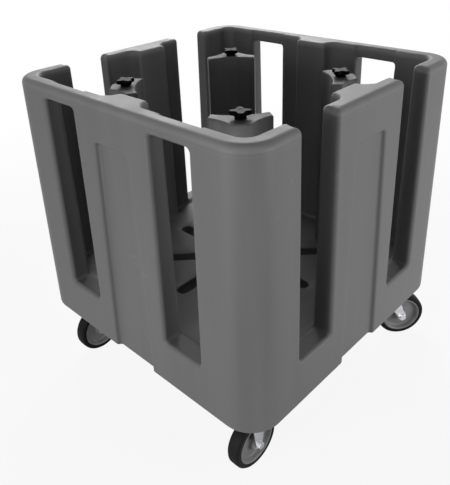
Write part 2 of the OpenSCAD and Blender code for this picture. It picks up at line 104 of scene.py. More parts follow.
# How far the deck and the blocks reach into the walls
BURIED = 0.005
SLOT_NEAR, SLOT_FAR = 0.116, 0.221
SILL_Z = DECK_Z + 0.008
RAIL_Z = RIM_Z - 0.030
RAIL_STEP, RAIL_STEP_H, RAIL_STEP_R = 0.005, 0.012, 0.004
SLOT_CORNER_R = 0.009
SLOT_EDGE_R = 0.009
RIB_DEPTH = 0.032
RIB_SIDE_R = 0.040
RIB_NOSE_R, RIB_FOOT_R = 0.007, 0.008
# The hollow side of a rib turns about this point: depth from the wall, and distance along it
RIB_SIDE_AT = (0.0296, 0.0829)
PANEL_TOP_Z = RIM_Z - 0.084
PANEL_TOP_HALF, PANEL_FOOT_HALF = 0.052, 0.066
PANEL_DEPTH = 0.009
PANEL_CORNER_R, PANEL_EDGE_R = 0.012, 0.004
PANEL_SLOPE = 0.5
CASTER_AT = 0.283
BLOCK_START, BLOCK_R, BLOCK_FILLET_R = 0.2215, 0.012, 0.008
PAD_HALF, PAD_EDGE_R = (0.0575, 0.045), 0.003
STAR_HALF = 0.015
WALL_ARM, CORNER_ARM = 0.218, 0.29925
STAR_EDGE_R = 0.0025
# The deck's fingers between the slots of the star have rounded tips
FINGER_R = 0.004
INSERT_R, INSERT_L = 0.006, 0.020
# A drill runs past the faces it cuts by this much
OVERRUN = 0.001
BOLT_PITCH = (0.080, 0.058)
TUB_GREY = (0.185, 0.185, 0.185)
# Share of the faces that stays when the flat stretches of the skin are thinned
TUB_FACE_SHARE = 0.36


def cut(a, b, r):
    """Field of what lies inside both fields, with the edge between them rounded to r."""
    return np.minimum(-r, np.maximum(a, b)) + np.hypot(np.maximum(a + r, 0), np.maximum(b + r, 0))


def join(a, b, r):
    """Field of what lies inside either field, with a fillet of radius r between them."""
    return -cut(-a, -b, r)


def corner_field(qx, qy):
    """Distance from the square corner that qx and qy measure outwards from."""
    return np.hypot(np.maximum(qx, 0), np.maximum(qy, 0)) + np.minimum(np.maximum(qx, qy), 0)


def wall_features(solid, outer, across, along, z, closed):
    """Adds a wall's rib, and cuts its slots, its recessed panel and the step of its rails."""
    slot_mid, slot_half = (SLOT_NEAR + SLOT_FAR)/2, (SLOT_FAR - SLOT_NEAR)/2
    depth = np.clip(INSIDE_HALF - across, 0, RIB_DEPTH)
    side = along - RIB_SIDE_AT[1] + np.sqrt(RIB_SIDE_R**2 - (depth - RIB_SIDE_AT[0])**2)
    rib = cut(INSIDE_HALF - RIB_DEPTH - across, side, RIB_NOSE_R)
    solid = join(solid, np.maximum(rib, across - INSIDE_HALF - 0.01), RIB_FOOT_R)
    top = RAIL_Z if closed else RIM_Z + 0.5
    mid_z, half_z = (SILL_Z + top)/2, (top - SILL_Z)/2
    slot = corner_field(np.abs(along - slot_mid) - slot_half + SLOT_CORNER_R,
                        np.abs(z - mid_z) - half_z + SLOT_CORNER_R) - SLOT_CORNER_R
    solid = cut(solid, -slot, SLOT_EDGE_R)
    if closed:
        step = np.maximum(np.maximum(across - INSIDE_HALF - RAIL_STEP, RAIL_Z - RAIL_STEP_H - z),
                          np.abs(along - slot_mid) - slot_half)
        solid = cut(solid, -step, RAIL_STEP_R)
    lean = (PANEL_FOOT_HALF - PANEL_TOP_HALF)/(PANEL_TOP_Z - UNDER_Z)
    outline = cut(along - PANEL_TOP_HALF - lean*(PANEL_TOP_Z - z), z - PANEL_TOP_Z, PANEL_CORNER_R)
    panel = cut(outline - PANEL_SLOPE*outer, -outer - PANEL_DEPTH, PANEL_EDGE_R)
    return cut(solid, -panel, PANEL_EDGE_R)


def tub_field(x, y, z):
    """Signed distance to the tub's skin, without the star of slots in its deck."""
    ax, ay = np.abs(x), np.abs(y)
    base = corner_field(ax - CORNER_C, ay - CORNER_C)
    rise = np.clip((z - UNDER_Z - FOOT_R)/(RIM_Z - DRAFT_STOP - UNDER_Z - FOOT_R), 0, 1)
    outer = base - (FOOT_HALF - DRAFT*rise - CORNER_C)
    solid = np.maximum(outer, INNER_R - base)
    solid = wall_features(solid, outer, ax, ay, z, True)
    solid = wall_features(solid, outer, ay, ax, z, False)
    share = np.clip((base - RIM_TURN[0])/(RIM_TURN[1] - RIM_TURN[0]), 0, 1)
    solid = cut(solid, z - RIM_Z, RIM_IN_R + (RIM_OUT_R - RIM_IN_R)*share)
    deck = np.maximum(np.abs(z - DECK_Z + DECK_T/2) - DECK_T/2, base - INNER_R - BURIED)
    solid = join(solid, deck, DECK_FILLET_R)
    block = cut(BLOCK_START - ax, BLOCK_START - ay, BLOCK_R)
    block = np.maximum(np.maximum(block, z - DECK_Z + DECK_T/2), base - INNER_R - BURIED)
    solid = cut(join(solid, block, BLOCK_FILLET_R), UNDER_Z - z, FOOT_R)
    r = SLOT_CORNER_R
    pad = corner_field(np.abs(ax - CASTER_AT) - PAD_HALF[0] + r,
                       np.abs(ay - CASTER_AT) - PAD_HALF[1] + r) - r
    pad = np.maximum(cut(pad, PAD_Z - z, PAD_EDGE_R), z - UNDER_Z - 0.006)
    return join(solid, pad, PAD_EDGE_R)


def star_field(x, y):
    """Signed distance to the star of eight slots, seen from above."""
    angle = np.arctan2(y, x)
    arm = np.round(angle/math.radians(45))
    r = np.hypot(x, y)
    u, v = r*np.cos(angle - arm*math.radians(45)), np.abs(r*np.sin(angle - arm*math.radians(45)))
    reach = np.where(arm % 2 == 0, WALL_ARM, CORNER_ARM) - STAR_HALF
    tip_v = STAR_HALF + FINGER_R
    tip_u = tip_v/math.tan(math.radians(22.5))
    field = np.where(u < tip_u, FINGER_R - np.hypot(u - tip_u, v - tip_v), v - STAR_HALF)
    return np.where(u > reach, np.hypot(u - reach, v) - STAR_HALF, field)


def slotted_tub_field(x, y, z):
    """Signed distance to the tub's skin with the star's slots and their soft edges."""
    return cut(tub_field(x, y, z), -star_field(x, y), STAR_EDGE_R)


def grid_lines(start, *bands):
    """Places of grid planes: each band is where it ends and the step inside it."""
    lines = [start]
    for end, step in bands:
        n = max(1, round((end - lines[-1])/step))
        lines += list(np.linspace(lines[-1], end, n + 1)[1:])
    return np.array(lines)


def gradient(field, points, step=0.0002):
    """A field's values at points and its slope there."""
    slope = np.zeros_like(points)
    for axis in range(3):
        shift = np.zeros(3)
        shift[axis] = step
        slope[:, axis] = (field(*(points + shift).T) - field(*(points - shift).T))/(2*step)
    return field(*points.T), slope


def skin_of(field, xs, ys, zs):
    """Surface nets: one corner in each cell that the skin crosses, moved onto the skin."""
    grid = np.meshgrid(xs, ys, zs, indexing="ij")
    values = field(*grid)
    inside = values < 0
    cells = tuple(n - 1 for n in inside.shape)
    total = np.zeros(cells + (3,))
    count = np.zeros(cells)
    crossings = []
    for axis in range(3):
        low, high = [slice(None)]*3, [slice(None)]*3
        low[axis], high[axis] = slice(0, -1), slice(1, None)
        low, high = tuple(low), tuple(high)
        at = np.argwhere(inside[low] != inside[high])
        a, b = values[low][tuple(at.T)], values[high][tuple(at.T)]
        ends = [np.stack([g[part][tuple(at.T)] for g in grid], 1) for part in (low, high)]
        point = ends[0] + (ends[1] - ends[0])*(a/(a - b))[:, None]
        around = []
        for d1, d2 in ((-1, -1), (0, -1), (0, 0), (-1, 0)):
            cell = at.copy()
            cell[:, (axis + 1) % 3] += d1
            cell[:, (axis + 2) % 3] += d2
            around.append(cell)
            np.add.at(total, tuple(cell.T), point)
            np.add.at(count, tuple(cell.T), 1)
        crossings.append((around, inside[low][tuple(at.T)]))
    used = count > 0
    index = np.full(cells, -1)
    index[used] = np.arange(used.sum())
    corners = total[used]/count[used][:, None]
    faces = []
    for around, outwards in crossings:
        quad = np.stack([index[tuple(c.T)] for c in around], 1)
        quad[~outwards] = quad[~outwards][:, ::-1]
        faces.append(quad)
    for _ in range(4):
        away, slope = gradient(field, corners)
        corners -= away[:, None]*slope/np.maximum((slope**2).sum(1), 0.25)[:, None]
    return corners, np.concatenate(faces)


def mesh_object(name, corners, faces):
    mesh = bpy.data.meshes.new(name)
    mesh.from_pydata([tuple(c) for c in corners], [], [tuple(int(i) for i in f) for f in faces])
    mesh.validate()
    obj = bpy.data.objects.new(name, mesh)
    scene.collection.objects.link(obj)
    return obj


def settle(obj):
    """Applies an object's modifiers to its mesh."""
    done = bpy.data.meshes.new_from_object(obj.evaluated_get(bpy.context.evaluated_depsgraph_get()))
    old = obj.data
    obj.modifiers.clear()
    obj.data = done
    bpy.data.meshes.remove(old)
    return obj


def combine(obj, other, operation):
    """Joins, cuts or intersects one solid with another, which is used up."""
    step = obj.modifiers.new("combine", "BOOLEAN")
    step.operation = operation
    step.solver = "EXACT"
    step.object = other
    settle(obj)
    bpy.data.objects.remove(other)
    return obj


def star_outline(widen):
    """Outline of the star, with every slot wider by widen on each side."""
    half_w, finger = STAR_HALF + widen, FINGER_R - widen
    points = []
    for arm in range(8):
        a = math.radians(45*arm)
        reach = (WALL_ARM if arm % 2 == 0 else CORNER_ARM) - STAR_HALF
        for t in np.linspace(-90, 90, 17):
            tip = a + math.radians(t)
            points.append((reach*math.cos(a) + half_w*math.cos(tip),
                           reach*math.sin(a) + half_w*math.sin(tip)))
        middle = a + math.radians(22.5)
        far = (half_w + finger)/math.sin(math.radians(22.5))
        for t in np.linspace(270, 135, 9):
            turned = a + math.radians(t)
            points.append((far*math.cos(middle) + finger*math.cos(turned),
                           far*math.sin(middle) + finger*math.sin(turned)))
    return points


def loft(name, rings):
    """A closed solid through rings of equally many points, each ring a list of 3D points."""
    n = len(rings[0])
    corners = [p for ring in rings for p in ring]
    faces = [tuple(range(n))[::-1], tuple(range(len(corners) - n, len(corners)))]
    for k in range(len(rings) - 1):
        for i in range(n):
            j = (i + 1) % n
            faces.append((k*n + i, k*n + j, k*n + n + j, k*n + n + i))
    return mesh_object(name, corners, faces)


def star_cutter():
    """The star's slots as one solid, flared at both faces of the deck for their soft edges."""
    under = DECK_Z - DECK_T
    levels = []
    for t in (75, 60, 45, 30, 15, 0):
        widen = STAR_EDGE_R*(1 - math.cos(math.radians(t)))
        levels.append((widen, STAR_EDGE_R*(1 - math.sin(math.radians(t)))))
    flare = levels[0][0] + 2*levels[0][1]
    rings = [(flare, under - levels[0][1])] + [(w, under + d) for w, d in levels]
    rings += [(w, DECK_Z - d) for w, d in levels[::-1]] + [(flare, DECK_Z + levels[0][1])]
    return loft("star_cutter", [[(x, y, z) for x, y in star_outline(w)] for w, z in rings])


def bolt_pattern():
    """The places of a caster's four bolts, from its middle."""
    return [(kx*BOLT_PITCH[0], ky*BOLT_PITCH[1]) for kx in (-0.5, 0.5) for ky in (-0.5, 0.5)]


def insert_holes():
    """The holes that the caster inserts fill, as one solid."""
    shape = bmesh.new()
    for sx, sy in CORNERS.values():
        for x, y in bolt_pattern():
            place = Matrix.Translation((sx*CASTER_AT + x, sy*CASTER_AT + y,
                                        PAD_Z + INSERT_L/2 - OVERRUN))
            bmesh.ops.create_cone(shape, cap_ends=True, segments=24, radius1=INSERT_R,
                                  radius2=INSERT_R, depth=INSERT_L + 2*OVERRUN, matrix=place)
    holes = mesh_object("insert_holes", [], [])
    shape.to_mesh(holes.data)
    shape.free()
    return holes


def read(items, key, width=1, kind=float):
    """One attribute of all corners, loops or faces of a mesh."""
    values = np.empty(len(items)*width, dtype=kind)
    items.foreach_get(key, values)
    return values.reshape(-1, width) if width > 1 else values


def shade_by_field(obj, field):
    """Gives each corner that lies on the field's skin the skin's exact normal."""
    mesh = obj.data
    mesh.shade_smooth()
    away, slope = gradient(field, read(mesh.vertices, "co", 3))
    size = np.sqrt((slope**2).sum(1))
    exact = slope/np.maximum(size, 0.001)[:, None]
    on_skin = (np.abs(away) < 0.0004) & (size > 0.6)
    vertex = read(mesh.loops, "vertex_index", kind=np.int64)
    counts = read(mesh.polygons, "loop_total", kind=np.int64)
    face_normal = np.repeat(read(mesh.polygons, "normal", 3), counts, axis=0)
    wanted = exact[vertex]
    fits = on_skin[vertex] & ((wanted*face_normal).sum(1) > 0.35)
    mesh.normals_split_custom_set([tuple(v) for v in np.where(fits[:, None], wanted, face_normal)])


# The grid is fine where the skin bends and coarse where it is flat
half = grid_lines(0.0, (0.040, 0.010), (0.076, 0.003), (0.104, 0.014), (0.129, 0.0027),
                  (0.208, 0.020), (0.237, 0.0027), (0.273, 0.012), (0.290, 0.003),
                  (0.330, 0.0029), (0.340, 0.005), (0.368, 0.0025))
sides = np.concatenate([-half[:0:-1], half])
heights = grid_lines(0.158, (0.190, 0.0026), (0.236, 0.015), (0.300, 0.0027), (0.684, 0.038),
                     (0.704, 0.0025), (0.738, 0.017), (0.786, 0.0025))
tub = mesh_object("tub_moulding", *skin_of(tub_field, sides, sides, heights))
thinner = tub.modifiers.new("thinner", "DECIMATE")
thinner.ratio = TUB_FACE_SHARE
settle(tub)
combine(tub, star_cutter(), "DIFFERENCE")
combine(tub, insert_holes(), "DIFFERENCE")
shade_by_field(tub, slotted_tub_field)


def add_node(tree, kind, inputs=None, **settings):
    """Adds one shader node; each input is a value, or the socket that feeds it."""
    node = tree.nodes.new(kind)
    for key, value in settings.items():
        setattr(node, key, value)
    for key, value in (inputs or {}).items():
        if isinstance(value, bpy.types.NodeSocket):
            tree.links.new(value, node.inputs[key])
        else:
            node.inputs[key].default_value = value
    return node


def node_group(name, inputs, outputs):
    """A shader node group with its sockets: each input is a name, a socket type and a value."""
    group = bpy.data.node_groups.new(name, "ShaderNodeTree")
    for label, kind, value in inputs:
        socket = group.interface.new_socket(label, in_out="INPUT", socket_type=kind)
        socket.default_value = value
    for label, kind in outputs:
        group.interface.new_socket(label, in_out="OUTPUT", socket_type=kind)
    return group, group.nodes.new("NodeGroupInput").outputs, group.nodes.new("NodeGroupOutput").inputs


COLOUR, NUMBER = "NodeSocketColor", "NodeSocketFloat"


def maths(tree, operation, *values):
    return add_node(tree, "ShaderNodeMath", dict(enumerate(values)), operation=operation).outputs[0]


def remap(tree, value, start, end, low=0.0, high=1.0, curve="LINEAR"):
    """Takes a value that runs from start to end to one that runs from low to high."""
    return add_node(tree, "ShaderNodeMapRange", {
        "Value": value, "From Min": start, "From Max": end, "To Min": low, "To Max": high},
        interpolation_type=curve).outputs[0]


def scaled(tree, colour, by):
    return add_node(tree, "ShaderNodeVectorMath", {0: colour, "Scale": by},
                    operation="SCALE").outputs[0]


def blend(tree, share, a, b):
    """A colour between two others."""
    return add_node(tree, "ShaderNodeMix", {"Factor": share, 6: a, 7: b},
                    data_type="RGBA").outputs[2]


def on_piece(tree):
    """The place on a piece, in metres."""
    return add_node(tree, "ShaderNodeTexCoord").outputs["Object"]


def stretched(tree, place, scale, **more):
    return add_node(tree, "ShaderNodeMapping", {"Vector": place, "Scale": scale, **more}).outputs[0]


def noise(tree, place, scale, detail=2.0, **more):
    return add_node(tree, "ShaderNodeTexNoise", {"Vector": place, "Scale": scale, "Detail": detail,
                                                 **more}).outputs["Fac"]


def moulded_skin_group():
    """The skin that a moulded plastic piece takes from its mould: stipple, flow marks and scuffs."""
    group, given, result = node_group(
        "moulded_skin",
        [("Colour", COLOUR, (0.5, 0.5, 0.5, 1)), ("Stipple Size", NUMBER, 0.0016),
         ("Mottle", NUMBER, 0.08), ("Roughness", NUMBER, 0.45), ("Scuffs", NUMBER, 0.3)],
        [("Colour", COLOUR), ("Roughness", NUMBER), ("Height", NUMBER)])
    place = on_piece(group)
    stipple = noise(group, place, maths(group, "DIVIDE", 1.0, given["Stipple Size"]), Roughness=0.55)
    flow = noise(group, stretched(group, place, (1, 1, 0.35)), 6.0, 4.0)
    drag = noise(group, stretched(group, place, (1, 1, 0.03)), 26.0, 3.0)
    marks = maths(group, "ADD", *[remap(group, mark, 0.3, 0.7, -1.0, 1.0) for mark in (flow, drag)])
    amount = maths(group, "MULTIPLY", marks, given["Mottle"])
    toned = scaled(group, given["Colour"], maths(group, "ADD", amount, 1.0))
    scratched = stretched(group, place, (1, 0.12, 0.5), Rotation=(0.4, 0.7, 0.2))
    fine = remap(group, noise(group, scratched, 90.0, 3.0), 0.62, 0.75)
    where = remap(group, noise(group, place, 3.0), 0.5, 0.7)
    scuff = maths(group, "MULTIPLY", maths(group, "MULTIPLY", fine, where), given["Scuffs"])
    group.links.new(blend(group, scuff, toned, (0.75, 0.75, 0.75, 1)), result["Colour"])
    sheen = maths(group, "MULTIPLY_ADD", scuff, 0.25, given["Roughness"])
    group.links.new(maths(group, "MULTIPLY_ADD", amount, 0.6, sheen), result["Roughness"])
    group.links.new(stipple, result["Height"])
    return group


moulded_skin = moulded_skin_group()


def skinned(name, look, skin_group, values, strength, depth):
    """A material that takes its colour, roughness and fine relief from a skin's node group."""
    material = bpy.data.materials.new(name)
    material.use_nodes = True
    tree = material.node_tree
    shader = tree.nodes["Principled BSDF"]
    for key, value in look.items():
        shader.inputs[key].default_value = value
    skin = add_node(tree, "ShaderNodeGroup", values, node_tree=skin_group).outputs
    relief = add_node(tree, "ShaderNodeBump", {"Strength": strength, "Distance": depth,
                                               "Height": skin["Height"]}).outputs[0]
    for socket, key in ((skin["Colour"], "Base Color"), (skin["Roughness"], "Roughness"),
                        (relief, "Normal")):
        tree.links.new(socket, shader.inputs[key])
    return material


def moulded_plastic(name, colour, roughness, stipple, depth, mottle, scuffs, gloss=0.5,
                    strength=0.35):
    """A moulded plastic or rubber: the mould's skin in a given colour."""
    return skinned(name, {"Specular IOR Level": gloss}, moulded_skin, {
        "Colour": (*colour, 1), "Stipple Size": stipple, "Mottle": mottle,
        "Roughness": roughness, "Scuffs": scuffs}, strength, depth)


# Painted highlight: where under the rim it starts and is full and how much paler it makes the
# plastic, and a thin painted highlight at the parting line
RIM_HIGHLIGHT_Z, RIM_HIGHLIGHT_FULL_Z, RIM_HIGHLIGHT = RIM_Z - 0.018, RIM_Z - 0.007, 0.45
PARTING_Z, PARTING_HALF, PARTING_HIGHLIGHT = RIM_Z - 0.020, 0.0008, 0.10


def painted_rim_highlight(material):
    """Pales the plastic round the rim as a painted highlight, and along the parting line as a thin
    painted highlight.
    """
    tree = material.node_tree
    base = tree.nodes["Principled BSDF"].inputs["Base Color"]
    place = on_piece(tree)
    height = add_node(tree, "ShaderNodeSeparateXYZ", {0: place}).outputs["Z"]
    rise = remap(tree, height, RIM_HIGHLIGHT_Z, RIM_HIGHLIGHT_FULL_Z, 0.0, RIM_HIGHLIGHT, "SMOOTHSTEP")
    patchy = remap(tree, noise(tree, place, 9.0, 3.0), 0.3, 0.6, 0.8, 1.05)
    line = maths(tree, "COMPARE", height, PARTING_Z, PARTING_HALF)
    highlight_amount = maths(tree, "MULTIPLY_ADD", line, PARTING_HIGHLIGHT, maths(tree, "MULTIPLY", rise, patchy))
    highlighted = scaled(tree, base.links[0].from_socket, maths(tree, "ADD", highlight_amount, 1.0))
    tree.links.new(highlighted, base)


def paint(obj, material):
    obj.data.materials.clear()
    obj.data.materials.append(material)
    return obj


tub_plastic = moulded_plastic("tub_polyethylene", TUB_GREY, 0.50, 0.0018, 0.0002, 0.07, 0.10, 0.35)
# The tub's colour gets a painted highlight round the rim and along the parting line
painted_rim_highlight(tub_plastic)
paint(tub, tub_plastic)
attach(tub, "caddy")
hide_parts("tub")


# The towers
# Four upright guides, each one grey moulding with a flat nose, two wings and hollow flanks that
# take the rims of the plates. A tongue underneath runs in a slot of the deck.

NOSE_HALF, NOSE_REACH = 0.0205, 0.046
WING_HALF, WING_FRONT, WING_END, WING_LEAN = 0.064, 0.003, 0.027, 0.005
FLANK_R, HOLLOW_R = 0.090, 0.140
TONGUE_H, TONGUE_L, TONGUE_HALF_W = 0.012, 0.044, 0.0145
ROD_HOLE_R = 0.007
# The rod stands this far outwards of the tower's middle
ROD_OUT = 0.010
TOWER_EDGE_R = 0.0055
TOWER_GREY = (0.20, 0.20, 0.20)
HOLE_STEPS = 32


def arc(start, end, r, steps):
    """Points on a hollow arc of radius r from start to end, without its ends."""
    a, b = Vector(start), Vector(end)
    way = b - a
    centre = (a + b)/2 + Vector((-way.y, way.x))*math.sqrt(r*r/way.length_squared - 0.25)
    first = math.atan2(a.y - centre.y, a.x - centre.x)
    swing = (math.atan2(b.y - centre.y, b.x - centre.x) - first + math.pi) % (2*math.pi) - math.pi
    turns = [first + swing*k/steps for k in range(1, steps)]
    return [(centre.x + r*math.cos(t), centre.y + r*math.sin(t)) for t in turns]


def prism(name, outline, low, high):
    """A flat outline made a solid between two heights."""
    return loft(name, [[(x, y, z) for x, y in outline] for z in (low, high)])


def box(name, low, high):
    return prism(name, [(low[0], low[1]), (high[0], low[1]), (high[0], high[1]), (low[0], high[1])],
                 low[2], high[2])


def circle(r, x=0.0, y=0.0, steps=HOLE_STEPS):
    return [(x + r*math.cos(t), y + r*math.sin(t))
            for t in np.linspace(0, 2*math.pi, steps, endpoint=False)]


def drill(obj, r, low, high, x=0.0, y=0.0):
    """Cuts a round upright hole between two heights."""
    return combine(obj, prism("hole", circle(r, x, y), low - OVERRUN, high + OVERRUN), "DIFFERENCE")


def soften(obj, r, steps=3, angle=30):
    """Rounds the edges that are sharper than an angle."""
    edge = obj.modifiers.new("soft_edges", "BEVEL")
    edge.width = r
    edge.segments = steps
    edge.limit_method = "ANGLE"
    edge.angle_limit = math.radians(angle)
    return settle(obj)


def shade(obj, angle=35):
    """Smooth shading over bends and flat shading on flat faces."""
    obj.data.shade_smooth()
    obj.data.set_sharp_from_angle(angle=math.radians(angle))
    even = obj.modifiers.new("even_normals", "WEIGHTED_NORMAL")
    even.keep_sharp = True
    return settle(obj)


def copy_to(obj, name, place):
    """A copy of a finished piece with a place baked into its mesh."""
    other = bpy.data.objects.new(name, obj.data.copy())
    other.data.transform(place)
    scene.collection.objects.link(other)
    return other


def middle(node):
    low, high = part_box(node)
    return (low + high)/2


tower_lo, tower_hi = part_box("front_tower")
TOWER_Z = tower_lo.z + TONGUE_H
nose_a, nose_b = (NOSE_REACH, -NOSE_HALF), (NOSE_REACH, NOSE_HALF)
wing_a, wing_b = (WING_FRONT, -WING_HALF), (WING_FRONT, WING_HALF)
hollow_a, hollow_b = [(WING_FRONT - WING_END, s*(WING_HALF - WING_LEAN)) for s in (-1, 1)]
tower_outline = [nose_a, nose_b, *arc(wing_b, nose_b, FLANK_R, 14)[::-1], wing_b, hollow_b,
                 *arc(hollow_a, hollow_b, HOLLOW_R, 20)[::-1], hollow_a, wing_a,
                 *arc(nose_a, wing_a, FLANK_R, 14)[::-1]]
tower = soften(prism("tower", [(x - ROD_OUT, y) for x, y in tower_outline], TOWER_Z, tower_hi.z),
               TOWER_EDGE_R, 4, 22)
tongue = soften(box("tongue", (-TONGUE_L/2, -TONGUE_HALF_W, tower_lo.z),
                    (TONGUE_L/2, TONGUE_HALF_W, TOWER_Z + 0.004)), 0.002)
combine(tower, tongue, "UNION")
drill(tower, ROD_HOLE_R, tower_lo.z, tower_hi.z)
shade(tower)
paint(tower, moulded_plastic("tower_polyethylene", TOWER_GREY, 0.52, 0.0016, 0.0002, 0.12, 0.15,
                             0.15))
on_rod = {}
for corner, (sx, sy) in CORNERS.items():
    rod = middle(f"{corner}_clamp_rod")
    on_rod[corner] = (Matrix.Translation((rod.x, rod.y, 0))
                      @ Matrix.Rotation(math.atan2(sy, sx), 4, "Z"))
    piece = copy_to(tower, f"{corner}_tower_moulding", on_rod[corner])
    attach(piece, f"{corner}_tower")
    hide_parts(f"{corner}_tower")
bpy.data.objects.remove(tower)


# The clamp knobs
# Glossy black nylon hand knobs with four lobes, moulded on the ends of the clamp rods.

KNOB_LOBES = 4
KNOB_REACH, LOBE_R, WAIST_R = 0.022, 0.0075, 0.013
KNOB_FILLET_R = 0.004
KNOB_EDGE_R = 0.0028
KNOB_HUB_R = 0.0120
# How far the lobes clear the face under the hub, at the hub and at their tips
LOBE_CLEAR, TIP_CLEAR = 0.0040, 0.0062
KNOB_DISH_R, KNOB_DISH_DEPTH = 0.0085, 0.0008
KNOB_TURNS = {"front": 0, "left": 36, "right": 45, "back": 45}


def knob_outline(steps):
    """Where rays from the middle leave the knob, with its fillets between the lobes."""
    angles = np.linspace(0, 2*math.pi, steps, endpoint=False)
    near, far = np.zeros(steps), np.full(steps, 2*KNOB_REACH)
    for _ in range(40):
        r = (near + far)/2
        x, y = r*np.cos(angles), r*np.sin(angles)
        field = r - WAIST_R
        for k in range(KNOB_LOBES):
            a = 2*math.pi*k/KNOB_LOBES
            u, v = x*math.cos(a) + y*math.sin(a), y*math.cos(a) - x*math.sin(a)
            arm = np.hypot(u - np.clip(u, 0, KNOB_REACH - LOBE_R), v) - LOBE_R
            field = join(field, arm, KNOB_FILLET_R)
        near, far = np.where(field < 0, r, near), np.where(field < 0, far, r)
    return np.stack([near*np.cos(angles), near*np.sin(angles)], 1)


def inset(outline, by):
    """Moves an outline inwards, square to itself."""
    ahead = np.roll(outline, -1, axis=0) - np.roll(outline, 1, axis=0)
    outwards = np.stack([ahead[:, 1], -ahead[:, 0]], 1)/np.hypot(*ahead.T)[:, None]
    return outline - outwards*by


def knob_mesh(name, low, high):
    rim = knob_outline(160)
    reach = np.hypot(*rim.T)[:, None]
    hub = rim/reach*np.minimum(reach, KNOB_HUB_R)
    rings = [[(*p, low + z) for p in hub*share]
             for share, z in ((0.9, 0), (1, 0.0012), (1, LOBE_CLEAR - 0.001))]
    for share, z in ((0.12, LOBE_CLEAR), (0.85, TIP_CLEAR - 0.0008), (0.97, TIP_CLEAR - 0.0002),
                     (1.0, TIP_CLEAR + 0.0006)):
        rings.append([(*p, low + z) for p in hub + (rim - hub)*share])
    for t in np.radians(np.linspace(0, 90, 7)):
        rings.append([(*p, high - KNOB_EDGE_R*(1 - math.sin(t)))
                      for p in inset(rim, KNOB_EDGE_R*(1 - math.cos(t)))])
    top = inset(rim, KNOB_EDGE_R)
    round_edge = top/np.hypot(*top.T)[:, None]*KNOB_DISH_R
    for share in (0.5, 1.0):
        rings.append([(*p, high) for p in top + (round_edge - top)*share])
    for share in (0.9, 0.7, 0.4, 0.1):
        depth = KNOB_DISH_DEPTH*(1 - share**2)
        rings.append([(*p, high - depth) for p in round_edge*share])
    return loft(name, rings)


knob_nylon = moulded_plastic("knob_nylon", (0.002, 0.002, 0.002), 0.34, 0.004, 0.0001, 0.1, 0.02,
                             0.022, 0.2)
knob_lo, knob_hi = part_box("front_clamp_knob")
knob = paint(shade(knob_mesh("knob", knob_lo.z, knob_hi.z)), knob_nylon)
for corner in CORNERS:
    piece = copy_to(knob, f"{corner}_knob_moulding",
                    on_rod[corner] @ Matrix.Rotation(math.radians(KNOB_TURNS[corner]), 4, "Z"))
    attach(piece, f"{corner}_knob")
    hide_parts(f"{corner}_clamp_knob")
bpy.data.objects.remove(knob)


# The clamp plates
# Zinc-plated steel plates under the deck, each with a square key that sits in the slot and
# holds it from turning while the rod screws through it.

PLATE_HALF, PLATE_T = 0.025, 0.009
KEY_HALF = 0.0145
THREAD_HOLE_R = 0.0061


def zinc_plate_group():
    """Bright zinc plate: cloudy grey patches, fine rolling marks and a few dull spots."""
    group, given, result = node_group(
        "zinc_skin",
        [("Colour", COLOUR, (0.7, 0.7, 0.7, 1)), ("Cloud Size", NUMBER, 0.012),
         ("Roughness", NUMBER, 0.3)],
        [("Colour", COLOUR), ("Roughness", NUMBER), ("Height", NUMBER)])
    place = on_piece(group)
    cloud = noise(group, place, maths(group, "DIVIDE", 1.0, given["Cloud Size"]), 5.0,
                  Roughness=0.65, Distortion=0.6)
    toned = scaled(group, given["Colour"], remap(group, cloud, 0.3, 0.7, 0.78, 1.08))
    group.links.new(toned, result["Colour"])
    dull = remap(group, cloud, 0.35, 0.7, 0.12, -0.05)
    group.links.new(maths(group, "ADD", given["Roughness"], dull), result["Roughness"])
    streak = noise(group, stretched(group, place, (1, 1, 14)), 160.0)
    group.links.new(streak, result["Height"])
    return group


zinc_skin = zinc_plate_group()


def plated_steel(name, colour, roughness, cloud):
    """Metal with a plated or turned skin."""
    return skinned(name, {"Metallic": 1.0}, zinc_skin, {
        "Colour": (*colour, 1), "Cloud Size": cloud, "Roughness": roughness}, 0.15, 0.00005)


bright_zinc = plated_steel("bright_zinc", (0.74, 0.75, 0.77), 0.30, 0.010)
plate_lo, plate_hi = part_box("front_clamp_plate")
clamp = soften(box("clamp", (-PLATE_HALF, -PLATE_HALF, plate_lo.z),
                   (PLATE_HALF, PLATE_HALF, plate_lo.z + PLATE_T)), 0.0012)
key = soften(box("key", (-KEY_HALF, -KEY_HALF, plate_lo.z + 0.002), (KEY_HALF, KEY_HALF, plate_hi.z)),
             0.0010)
combine(clamp, key, "UNION")
drill(clamp, THREAD_HOLE_R, plate_lo.z, plate_hi.z)
paint(shade(clamp), bright_zinc)
for corner in CORNERS:
    piece = copy_to(clamp, f"{corner}_clamp_steel", on_rod[corner])
    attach(piece, f"{corner}_clamp")
    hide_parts(f"{corner}_clamp_plate")
bpy.data.objects.remove(clamp)


# The wheels
# Grey polypropylene cores with a web between hub and rim, and black rubber treads moulded on.

TREAD_HALF_W, TREAD_T, TREAD_SHOULDER = 0.016, 0.012, 0.0045
CORE_RIM_T, CORE_LIP_R = 0.006, 0.002
HUB_R, HUB_HALF_W = 0.018, 0.019
BUSH_R, BUSH_FLANGE_T = 0.011, 0.0015
WEB_HALF, WEB_DIP = 0.0045, 0.004
WHEEL_STEPS = 96


